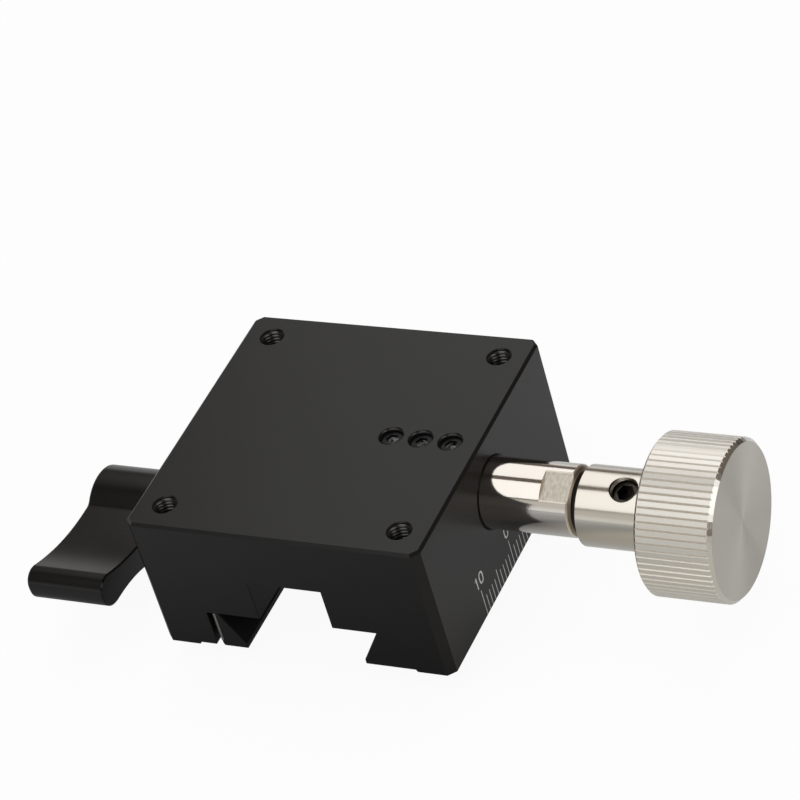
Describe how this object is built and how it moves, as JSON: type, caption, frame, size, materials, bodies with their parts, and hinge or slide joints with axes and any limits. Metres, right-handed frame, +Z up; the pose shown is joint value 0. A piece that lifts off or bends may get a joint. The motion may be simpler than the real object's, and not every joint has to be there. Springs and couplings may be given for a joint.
{
  "type": "manual linear stage carriage",
  "caption": "Square dovetail carriage with a rack pinion drive in an eccentric sleeve, a knurled side knob and a lever that locks a slit jaw.",
  "frame": {"origin": "centre of the top face, which is the centre of the four table holes", "axes": "+X towards the knob, +Y towards the back along the dovetail, +Z up out of the top face"},
  "size_m": [0.0901, 0.0405, 0.0244],
  "materials": {
    "block_anodised": "fine matt black anodising",
    "sleeve_nickel": "bright nickel plating on turned steel",
    "bush_bronze": "sintered bronze",
    "shaft_steel": "ground",
    "washer_steel": "satin",
    "washer_resin": "matt black resin",
    "knob_nickel": "satin nickel plating on a turned part",
    "screw_black": "black oxide",
    "lever_anodised": "satin black anodising",
    "tip_brass": "turned"
  },
  "bodies": {
    "carriage": {"carriage_block": "block_anodised", "sleeve_set_screw_inner": "screw_black", "sleeve_set_screw_middle": "screw_black", "sleeve_set_screw_outer": "screw_black"},
    "sleeve": {"eccentric_sleeve": "sleeve_nickel", "sleeve_bush_inner": "bush_bronze", "sleeve_bush_outer": "bush_bronze", "thrust_washer_inner": "washer_steel", "thrust_washer_outer": "washer_resin"},
    "spindle": {"pinion_shaft": "shaft_steel", "knob": "knob_nickel", "knob_set_screw": "screw_black"},
    "tip": {"clamp_tip": "tip_brass"},
    "lever": {"lock_lever": "lever_anodised", "lock_stud": "shaft_steel", "lever_screw": "screw_black", "lever_washer": "washer_steel"}
  },
  "joints": [
    {"name": "sleeve_adjust", "type": "hinge", "parent": "carriage", "child": "sleeve", "pos_m": [0.02, 0, -0.0077], "axis": [1, 0, 0], "range_deg": [-25, 25]},
    {"name": "knob_turn", "type": "hinge", "parent": "sleeve", "child": "spindle", "pos_m": [0.0474, 0, -0.0082], "axis": [1, 0, 0], "continuous": true},
    {"name": "lock_advance", "type": "slide", "parent": "carriage", "child": "tip", "axis": [1, 0, 0], "range_m": [-0.00008333, 0]},
    {"name": "lock_turn", "type": "hinge", "parent": "tip", "child": "lever", "pos_m": [-0.03, 0, -0.01735], "axis": [1, 0, 0], "range_deg": [-60, 0]}
  ],
  "couplings": [
    {"joint": "lock_turn", "follows": "lock_advance", "rad_per_m": 12566}
  ]
}
